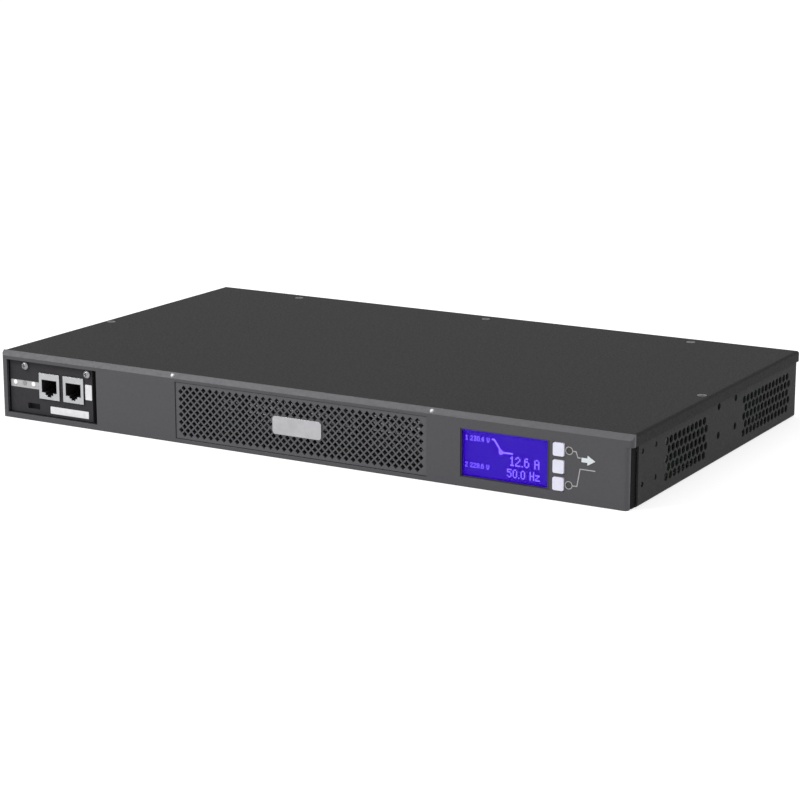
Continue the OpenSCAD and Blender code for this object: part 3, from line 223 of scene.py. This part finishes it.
def display_face():
    """A backlit blue display with its faint grid of dots."""
    blue = (0.027, 0.0, 0.44)
    finish = Finish("display_blue", (0.006, 0.0, 0.08), 0.25, Specular_IOR_Level=0.1)
    split = finish.node("ShaderNodeSeparateXYZ")
    finish.link(finish.place, split.inputs["Vector"])
    lines = []
    for axis in "XZ":
        turn = finish.node("ShaderNodeMath", operation="PINGPONG")
        turn.inputs[1].default_value = DOT / 2
        finish.link(split.outputs[axis], turn.inputs[0])
        lines.append(finish.spread(turn.outputs[0], 0, 1, 0, 0.12 * DOT))
    grid = finish.node("ShaderNodeMath", operation="MULTIPLY")
    finish.link(lines[0], grid.inputs[0])
    finish.link(lines[1], grid.inputs[1])
    mix = finish.node("ShaderNodeMix", data_type="RGBA")
    mix.inputs["A"].default_value = (0.02, 0.0, 0.34, 1)
    mix.inputs["B"].default_value = (*blue, 1)
    finish.link(grid.outputs[0], mix.inputs["Factor"])
    finish.link(mix.outputs["Result"], finish.shader.inputs["Emission Color"])
    finish.set("Emission Strength", 1.0)
    return finish.material


def card_lamps():
    """Three small lamps of which the middle one is unlit."""
    lo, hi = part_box("card_lights")
    finish = Finish("card_lamps", (0.55, 0.55, 0.55), 0.3)
    finish.round_edges(0.3 * MM)
    split = finish.node("ShaderNodeSeparateXYZ")
    finish.link(finish.place, split.inputs["Vector"])
    off = finish.node("ShaderNodeMath", operation="SUBTRACT")
    off.inputs[1].default_value = (lo.x + hi.x) / 2
    finish.link(split.outputs["X"], off.inputs[0])
    reach = finish.node("ShaderNodeMath", operation="ABSOLUTE")
    finish.link(off.outputs[0], reach.inputs[0])
    quarter = (hi.x - lo.x) / 4
    mix = finish.node("ShaderNodeMix", data_type="RGBA")
    mix.inputs["A"].default_value = (0.2, 0.2, 0.19, 1)
    mix.inputs["B"].default_value = (0.7, 0.7, 0.7, 1)
    finish.link(finish.spread(reach.outputs[0], 0, 1, quarter, quarter * 1.02), mix.inputs["Factor"])
    finish.link(mix.outputs["Result"], finish.shader.inputs["Base Color"])
    return finish.bump(1.5 * MM, 0.01 * MM).material


def clear_window():
    finish = Finish("window_clear", (0.95, 0.95, 1.0), 0.02, Transmission_Weight=1.0, IOR=1.12)
    return finish.bump(30 * MM, 0.005 * MM).material


DOT = 0.42 * MM          # pitch of the display's dots

BLACK = (0.008, 0.008, 0.009)
STEEL = (0.5, 0.51, 0.53)
FINISHES = {
    "tray_powder": powder_coat("tray_powder", (0.023, 0.0218, 0.0232)),
    # cover_powder is painted shade: the tray's powder coat at half the brightness, to offset the extra light that
    # falls on the top cover.
    "cover_powder": powder_coat("cover_powder", (0.0115, 0.0107, 0.0112)),
    "bezel_grey": moulded("bezel_grey", (0.0355, 0.0335, 0.0385), 0.5, 0.35 * MM, 0.012 * MM),
    "grille_black": moulded("grille_black", (0.048, 0.046, 0.052), 0.5),
    "badge_silver": bare_metal("badge_silver", (0.4, 0.4, 0.415), 0.4),
    "window_clear": clear_window(),
    "black_plastic": moulded("black_plastic", BLACK, 0.45),
    "display_blue": display_face(),
    "button_white": backlit("button_white", (0.46, 0.44, 0.5), (0.9, 0.82, 1.0), 0.2),
    "light_dark": moulded("light_dark", (0.02, 0.021, 0.014), 0.2),
    "light_white": backlit("light_white", (0.45, 0.45, 0.45), (0.98, 0.98, 1.0), 0.15),
    "board_green": circuit_board("board_green", (0.01, 0.09, 0.035)),
    "cable_grey": moulded("cable_grey", (0.36, 0.37, 0.39), 0.5, 1.27 * MM, 0.08 * MM),
    "zinc_steel": bare_metal("zinc_steel", (0.6, 0.61, 0.6), 0.4, (1, 1, 1), 1.2 * MM),
    "jack_metal": bare_metal("jack_metal", (0.42, 0.43, 0.44), 0.34, (1, 14, 1)),
    "socket_black": moulded("socket_black", (0.016, 0.016, 0.018), 0.42),
    "brass": bare_metal("brass", (0.78, 0.58, 0.26), 0.28, (1, 14, 1)),
    "copper": bare_metal("copper", (0.75, 0.36, 0.22), 0.3, (1, 14, 1)),
    "liner": moulded("liner", (0.62, 0.6, 0.46), 0.4, 3 * MM, 0.03 * MM),
    "sink_aluminium": bare_metal("sink_aluminium", (0.7, 0.71, 0.73), 0.38, (16, 1, 1)),
    "package_black": moulded("package_black", BLACK, 0.55),
    "relay_blue": moulded("relay_blue", (0.02, 0.07, 0.28), 0.35),
    "can_blue": moulded("can_blue", (0.02, 0.028, 0.1), 0.25),
    "film_yellow": moulded("film_yellow", (0.72, 0.5, 0.04), 0.4),
    "core_steel": bare_metal("core_steel", (0.25, 0.23, 0.22), 0.5, (20, 1, 20), 0.5 * MM),
    "ring_green": moulded("ring_green", (0.05, 0.24, 0.1), 0.4),
    "fuse_metal": bare_metal("fuse_metal", (0.8, 0.8, 0.82), 0.2, (1, 1, 1)),
    "screw_steel": bare_metal("screw_steel", STEEL, 0.34, (1, 1, 1), 0.4 * MM),
}


# Nodes whose own finish differs from their slot's
OWN_FINISHES = {
    "card_screws": bare_metal("dull_zinc", (0.3, 0.3, 0.31), 0.4, (1, 1, 1), 0.4 * MM),
    "card_lights": card_lamps(),
    "bezel_pins": bare_metal("pin_steel", (0.34, 0.34, 0.35), 0.48, (1, 1, 1), 0.4 * MM),
    "cover_screws": bare_metal("black_zinc", (0.12, 0.12, 0.12), 0.45, (1, 1, 1), 0.4 * MM),
    "card_faceplate": powder_coat("card_plate", (0.026, 0.0245, 0.027)),
}


def dress_nodes():
    """Gives every CAD node the finish of its slot in the record, or its own."""
    for row in frame["record"]["subparts"]:
        node = frame["nodes"][row["node"]]
        node.data.materials.clear()
        node.data.materials.append(OWN_FINISHES.get(row["node"]) or FINISHES[row["material_slot"]])


dress_nodes()


# ---------- making pieces ----------

def piece(name, bm, material, body=HOUSING):
    """Turns a bmesh into a piece that rides on a body."""
    mesh = bpy.data.meshes.new(name)
    bmesh.ops.recalc_face_normals(bm, faces=bm.faces)
    bm.to_mesh(mesh)
    bm.free()
    mesh.materials.append(material)
    made = bpy.data.objects.new(name, mesh)
    bpy.context.scene.collection.objects.link(made)
    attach(made, body)
    return made


def add_prism(bm, points, y0, y1):
    """Adds a prism: an outline of (x, z) points, from one depth to another."""
    front = [bm.verts.new((x, y0, z)) for x, z in points]
    back = [bm.verts.new((x, y1, z)) for x, z in points]
    bm.faces.new(front)
    bm.faces.new(back[::-1])
    for i in range(len(points)):
        j = (i + 1) % len(points)
        bm.faces.new((front[j], front[i], back[i], back[j]))


def add_slab(bm, x0, x1, z0, z1, y0, y1):
    add_prism(bm, [(x0, z0), (x1, z0), (x1, z1), (x0, z1)], y0, y1)


def inset(points, t):
    """A square-cornered outline, drawn anticlockwise, moved inwards by t."""
    moved = []
    for i, p in enumerate(points):
        here = Vector(p)
        before = (here - Vector(points[i - 1])).normalized()
        after = (Vector(points[(i + 1) % len(points)]) - here).normalized()
        moved.append(tuple(here + t * Vector((-before.y - after.y, before.x + after.x))))
    return moved


def add_tube(bm, outer, inner, y0, y1):
    """Adds a tube between two outlines of (x, z) points."""
    loops = [[bm.verts.new((x, y, z)) for x, z in points]
             for points, y in ((outer, y0), (inner, y0), (inner, y1), (outer, y1))]
    count = len(outer)
    for a in range(4):
        b = (a + 1) % 4
        for i in range(count):
            j = (i + 1) % count
            bm.faces.new((loops[a][i], loops[a][j], loops[b][j], loops[b][i]))


def round_outline(x0, x1, z0, z1, r, steps=5):
    """A rectangle with round corners."""
    corners = [(x1 - r, z1 - r, 0), (x0 + r, z1 - r, 90), (x0 + r, z0 + r, 180), (x1 - r, z0 + r, 270)]
    points = []
    for x, z, start in corners:
        for i in range(steps + 1):
            a = math.radians(start + 90 * i / steps)
            points.append((x + r * math.cos(a), z + r * math.sin(a)))
    return points


def add_line(bm, points, width, y0, y1):
    """Adds a printed line through (x, z) points, mitred at its bends."""
    half = width / 2
    left, right = [], []
    for i, p in enumerate(points):
        here = Vector(p)
        before = (here - Vector(points[i - 1])).normalized() if i else None
        after = (Vector(points[i + 1]) - here).normalized() if i + 1 < len(points) else None
        along = ((before or after) + (after or before)).normalized()
        across = Vector((-along.y, along.x))
        reach = half / max(0.3, along.dot(after or before))
        left.append(tuple(here + across * reach))
        right.append(tuple(here - across * reach))
    add_prism(bm, left + right[::-1], y0, y1)


def add_ring(bm, x, z, r0, r1, y0, y1, steps=40):
    """Adds a flat ring about a point of the front."""
    loops = []
    for r, y in ((r0, y0), (r1, y0), (r1, y1), (r0, y1)):
        loops.append([bm.verts.new((x + r * math.cos(2 * math.pi * i / steps), y,
                                    z + r * math.sin(2 * math.pi * i / steps))) for i in range(steps)])
    for a in range(4):
        for i in range(steps):
            j = (i + 1) % steps
            b = (a + 1) % 4
            bm.faces.new((loops[a][i], loops[a][j], loops[b][j], loops[b][i]))


# ---------- display ----------

GLYPHS = {
    "0": (".##.", "#..#", "#..#", "#..#", "#..#", "#..#", ".##."),
    "1": ("..#.", ".##.", "..#.", "..#.", "..#.", "..#.", ".###"),
    "2": (".##.", "#..#", "...#", "..#.", ".#..", "#...", "####"),
    "3": ("####", "...#", "..#.", ".##.", "...#", "#..#", ".##."),
    "4": ("..#.", ".##.", "#.#.", "#.#.", "####", "..#.", "..#."),
    "5": ("####", "#...", "###.", "...#", "...#", "#..#", ".##."),
    "6": (".##.", "#...", "###.", "#..#", "#..#", "#..#", ".##."),
    "8": (".##.", "#..#", "#..#", ".##.", "#..#", "#..#", ".##."),
    ".": (".", ".", ".", ".", ".", ".", "#"),
    "V": ("#..#", "#..#", "#..#", "#..#", "#..#", ".##.", ".##."),
    "A": (".##.", "#..#", "#..#", "####", "#..#", "#..#", "#..#"),
    "H": ("#..#", "#..#", "#..#", "####", "#..#", "#..#", "#..#"),
    "z": ("....", "....", "####", "..#.", ".#..", "#...", "####"),
    " ": ("..", "..", "..", "..", "..", "..", ".."),
}


def add_text(bm, text, x, top, dot, y0, y1):
    """Adds lit dots for a short reading, from its top left corner."""
    for letter in text:
        rows = GLYPHS[letter]
        for j, row in enumerate(rows):
            for i, mark in enumerate(row):
                if mark == "#":
                    add_slab(bm, x + i * dot, x + (i + 0.9) * dot,
                             top - (j + 0.9) * dot, top - j * dot, y0, y1)
        x += (len(rows[0]) + 1) * dot


def make_display():
    """The lit signs: two source readings, a changeover sign and two output readings."""
    lo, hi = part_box("window_lens")
    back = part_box("display_glass")[0].y
    y0, y1 = back - 2 * PRINT, back + PRINT
    lit = Finish("display_lit", (0.16, 0.07, 1.0), 0.4)
    lit.mottle(3 * MM, 0.06).glow((0.22, 0.12, 1.0), 1.0)
    w, h = hi.x - lo.x, hi.z - lo.z
    bm = bmesh.new()
    add_text(bm, "1 230.4 V", lo.x + 0.035 * w, hi.z - 0.17 * h, DOT, y0, y1)
    add_text(bm, "2 228.6 V", lo.x + 0.035 * w, hi.z - 0.70 * h, DOT, y0, y1)
    add_text(bm, "12.6 A", lo.x + 0.52 * w, hi.z - 0.47 * h, 1.9 * DOT, y0, y1)
    add_text(bm, "50.0 Hz", lo.x + 0.50 * w, hi.z - 0.72 * h, 1.7 * DOT, y0, y1)
    # The changeover sign: a line that steps down to the load
    add_line(bm, [(lo.x + a * w, hi.z - b * h) for a, b in
                  ((0.33, 0.19), (0.355, 0.19), (0.44, 0.42), (0.56, 0.42))], 2.2 * DOT, y0, y1)
    add_ring(bm, lo.x + 0.43 * w, hi.z - 0.42 * h, 0.8 * DOT, 3.4 * DOT, y0, y1, 20)
    piece("display_signs", bm, lit.material)


def make_window_shadow_border():
    """A black border on the window, wider at its right end: painted shadow of the frame on the display's edges."""
    lo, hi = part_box("window_lens")
    lap = 0.75 * MM          # of the window behind the bezel
    x0, x1, z0, z1 = lo.x + lap, hi.x - lap, lo.z + lap, hi.z - lap
    left, right, rim = 0.6 * MM, 1.5 * MM, 0.5 * MM
    # Painted shadow: this black border stands for the frame's shade on the display, not for a print on the window.
    ink_and_shadow_paint = Finish("window_shadow_paint", BLACK, 0.3).mottle(2 * MM, 0.1).bump(0.5 * MM, 0.005 * MM)
    bm = bmesh.new()
    add_tube(bm, [(x0, z0), (x1, z0), (x1, z1), (x0, z1)],
             [(x0 + left, z0 + rim), (x1 - right, z0 + rim), (x1 - right, z1 - rim), (x0 + left, z1 - rim)],
             lo.y - PRINT, lo.y + PRINT)
    piece("window_shadow_border", bm, ink_and_shadow_paint.material)


make_display()
make_window_shadow_border()


# ---------- front panel ----------

def make_mimic():
    """Printed lines that lead from both status lights to the arrow."""
    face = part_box("front_bezel")[0].y
    y0, y1 = face - PRINT, face + PRINT
    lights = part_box("status_lights")
    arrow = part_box("arrow_light")
    r = (lights[1].x - lights[0].x) / 2
    x = (lights[0].x + lights[1].x) / 2
    high, low = lights[1].z - r, lights[0].z + r
    mid = (arrow[0].z + arrow[1].z) / 2
    ink_and_shadow_paint = Finish("panel_ink", (0.3, 0.29, 0.3), 0.6).mottle(2 * MM, 0.1).material
    bm = bmesh.new()
    bend = arrow[0].x - 2.2 * MM
    for z in (high, low):
        add_ring(bm, x, z, r + 0.45 * MM, r + 0.85 * MM, y0, y1)
    add_line(bm, [(x + r + 0.9 * MM, high), (bend - 1.2 * MM, high), (bend, mid + 0.9 * MM),
                  (arrow[0].x - 0.6 * MM, mid + 0.9 * MM)], 0.55 * MM, y0, y1)
    add_line(bm, [(x + r + 0.9 * MM, low), (bend - 0.4 * MM, low), (bend + 1.4 * MM, mid - 5.4 * MM),
                  (arrow[1].x, mid - 5.4 * MM)], 0.55 * MM, y0, y1)
    piece("panel_print", bm, ink_and_shadow_paint)


make_mimic()


# ---------- network card ----------

def make_card_labels():
    """Blank labels on the card's faceplate: two white ones and a grey strip round the lights."""
    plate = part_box("card_faceplate")
    left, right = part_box("network_jack_left"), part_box("network_jack_right")
    lights_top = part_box("card_lights")[1].z
    y0, y1 = plate[0].y - 2 * PRINT, plate[0].y + PRINT
    paper = Finish("label_white", (0.56, 0.56, 0.57), 0.55).mottle(3 * MM, 0.05).bump(0.3 * MM, 0.01 * MM)
    bm = bmesh.new()
    add_prism(bm, round_outline((left[0].x + left[1].x) / 2, right[1].x + 3.2 * MM,
                                plate[0].z + 1.8 * MM, left[0].z - 4.4 * MM, 0.5 * MM), y0, y1)
    add_prism(bm, round_outline(right[1].x + 1.0 * MM, plate[1].x - 0.6 * MM,
                                left[0].z + 3.2 * MM, left[0].z + 13 * MM, 0.5 * MM), y0, y1)
    piece("card_labels", bm, paper.material)
    foil = Finish("label_grey", (0.3, 0.3, 0.3), 0.5).mottle(2 * MM, 0.06).bump(0.3 * MM, 0.01 * MM)
    bm = bmesh.new()
    add_prism(bm, round_outline(plate[0].x + 0.6 * MM, left[0].x - 0.6 * MM,
                                lights_top - 4.6 * MM, lights_top, 0.5 * MM), y0, y1)
    piece("card_light_label", bm, foil.material)


CAVITY = (11.9 * MM, 8.4 * MM)      # width and height of a jack's cavity
CAVITY_UP = 4.2 * MM                # from the foot of the jack to the cavity
CAVITY_DEEP = 14 * MM
LATCH_STEPS = ((3.1 * MM, 1.5 * MM), (1.6 * MM, 2.6 * MM))    # half width and depth of each step


def make_jack_linings():
    """A black plastic lining in each jack's stepped cavity, with a closed back."""
    plastic = moulded("jack_black", BLACK, 0.5)
    wall = 0.3 * MM
    for side in ("left", "right"):
        lo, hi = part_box("network_jack_" + side)
        x, foot = (lo.x + hi.x) / 2, lo.z + CAVITY_UP
        half = [(CAVITY[0] / 2, foot + CAVITY[1]), (CAVITY[0] / 2, foot)]
        for width, down in LATCH_STEPS:
            half += [(width, half[-1][1]), (width, foot - down)]
        outer = [(x - a, z) for a, z in half] + [(x + a, z) for a, z in half[::-1]]
        y0, y1 = lo.y + 0.1 * MM, lo.y + CAVITY_DEEP - 0.05 * MM
        bm = bmesh.new()
        add_tube(bm, outer, inset(outer, wall), y0, y1 - wall)
        add_prism(bm, outer, y1 - wall, y1)
        piece("jack_lining_" + side, bm, plastic)


def make_jack_contacts():
    """Eight sprung gold contacts in each network jack."""
    gold = bare_metal("contact_gold", (0.9, 0.68, 0.28), 0.2, (1, 8, 1))
    pitch, wide = 1.02 * MM, 0.45 * MM
    for side in ("left", "right"):
        lo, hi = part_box("network_jack_" + side)
        x = (lo.x + hi.x) / 2
        top = lo.z + 12.4 * MM
        bm = bmesh.new()
        for i in range(8):
            x0 = x + (i - 3.5) * pitch - wide / 2
            profile = [(2.2, 0.02), (3.0, -0.5), (11.8, -3.4), (12.6, -3.2), (12.6, -2.8), (3.0, 0.02)]
            ring = [[bm.verts.new((xx, lo.y + y * MM, top + z * MM)) for y, z in profile]
                    for xx in (x0, x0 + wide)]
            bm.faces.new(ring[0])
            bm.faces.new(ring[1][::-1])
            for a in range(len(profile)):
                b = (a + 1) % len(profile)
                bm.faces.new((ring[0][b], ring[0][a], ring[1][a], ring[1][b]))
        piece("jack_contacts_" + side, bm, gold)


make_card_labels()
make_jack_linings()
make_jack_contacts()


# ---------- joint behind the bezel ----------

def make_joint_shadow_strips():
    """Black strips in the joint behind the bezel's ends: painted shadow, a dark sheet that stands for the shade in the
    gap.
    """
    shadow_paint = moulded("shadow_strip_black", BLACK, 0.9, 0.6 * MM, 0.15 * MM, Specular_IOR_Level=0.1)
    lo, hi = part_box("front_panel")
    bm = bmesh.new()
    for side in (-1, 1):
        x0, x1 = sorted((side * (hi.x - 0.6 * MM), side * (hi.x + 0.4 * MM)))
        # Painted shadow: each strip fills the gap between the bezel's end and the tray's side, where only shade falls.
        add_slab(bm, x0, x1, lo.z - 0.8 * MM, hi.z - 2 * MM, lo.y - 2.1 * MM, lo.y + 4 * MM)
    piece("joint_shadow_strips", bm, shadow_paint)


make_joint_shadow_strips()


# ---------- floor and light ----------

def make_floor():
    bm = bmesh.new()
    half = 12
    corners = [bm.verts.new((x, y, CAD_LO.z)) for x, y in
               ((-half, -half), (half, -half), (half, half), (-half, half))]
    bm.faces.new(corners)
    mesh = bpy.data.meshes.new("floor")
    bm.to_mesh(mesh)
    bm.free()
    floor = bpy.data.objects.new("floor", mesh)
    mesh.materials.append(Finish("floor", (0.4, 0.4, 0.4), 0.9, Specular_IOR_Level=0.0).glow((1, 1, 1), 0.68).material)
    bpy.context.scene.collection.objects.link(floor)


def make_area_light(name, place, size, power, aim=(0, 0, 0.02)):
    data = bpy.data.lights.new(name, "AREA")
    data.shape = "DISK"
    data.size = size
    data.energy = power
    light = bpy.data.objects.new(name, data)
    light.location = place
    light.rotation_mode = "QUATERNION"
    light.rotation_quaternion = (Vector(aim) - Vector(place)).to_track_quat("-Z", "Y")
    bpy.context.scene.collection.objects.link(light)


def make_light():
    world = bpy.data.worlds.new("studio")
    world.use_nodes = True
    background = world.node_tree.nodes["Background"]
    background.inputs["Color"].default_value = (1, 1, 1, 1)
    background.inputs["Strength"].default_value = 0.95
    bpy.context.scene.world = world
    make_area_light("key", (-1.27, -1.28, 1.74), 1.2, 44)
    make_area_light("top", (0.2, 0.4, 2.4), 2.2, 6)


make_floor()
make_light()
bpy.context.scene.view_settings.view_transform = "Standard"
